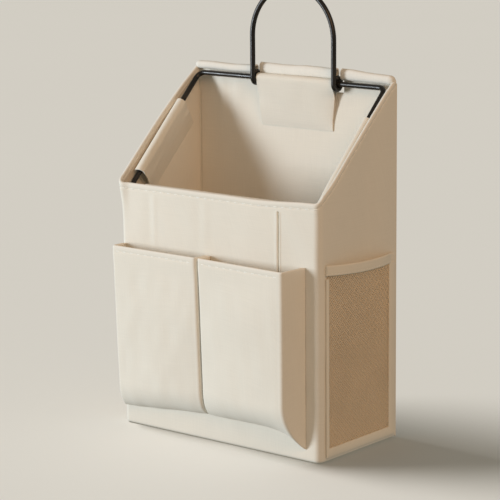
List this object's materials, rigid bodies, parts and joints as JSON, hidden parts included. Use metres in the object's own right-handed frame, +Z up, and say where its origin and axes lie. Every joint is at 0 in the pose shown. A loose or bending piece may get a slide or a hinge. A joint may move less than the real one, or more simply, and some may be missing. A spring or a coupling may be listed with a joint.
{
  "type": "bedside caddy",
  "caption": "Canvas box with a slanted mouth held open by a wire hoop, with front and side pockets, hung from a swinging wire bail.",
  "frame": {"origin": "middle of the box's base, on its underside", "axes": "+X to the right seen from the front, -Y out of the front, +Z up; the back panel faces +Y"},
  "size_m": [0.2586, 0.1411, 0.4222],
  "materials": {
    "canvas": "plain woven cotton canvas, matt",
    "hem_canvas": "folded canvas edge with a row of stitches",
    "binding": "canvas tape, matt",
    "netting": "fine diamond net, tan",
    "fibreboard": "plain stiffening board",
    "coated_wire": "satin black coating"
  },
  "bodies": {
    "caddy": {"frame_hoop": "coated_wire", "back_panel": "canvas", "left_side_panel": "canvas", "right_side_panel": "canvas", "front_panel": "canvas", "bottom_panel": "canvas", "base_board": "fibreboard", "front_hem": "hem_canvas", "left_hem": "hem_canvas", "right_hem": "hem_canvas", "back_hem_left": "hem_canvas", "back_hem_centre": "hem_canvas", "back_hem_right": "hem_canvas", "hanging_tab": "canvas", "front_wire_sleeve": "canvas", "left_wire_sleeve": "canvas", "right_wire_sleeve": "canvas", "left_front_pocket": "canvas", "left_front_pocket_hem": "hem_canvas", "right_front_pocket": "canvas", "right_front_pocket_hem": "hem_canvas", "left_net": "netting", "left_net_mouth_binding": "binding", "left_net_edge_binding": "binding", "right_net": "netting", "right_net_mouth_binding": "binding", "right_net_edge_binding": "binding"},
    "bail": {"hanger_bail": "coated_wire"}
  },
  "joints": [
    {"name": "bail_swing", "type": "hinge", "parent": "caddy", "child": "bail", "pos_m": [0.008, 0.0512, 0.3307], "axis": [1, 0, 0], "range_deg": [-148, 162]}
  ]
}
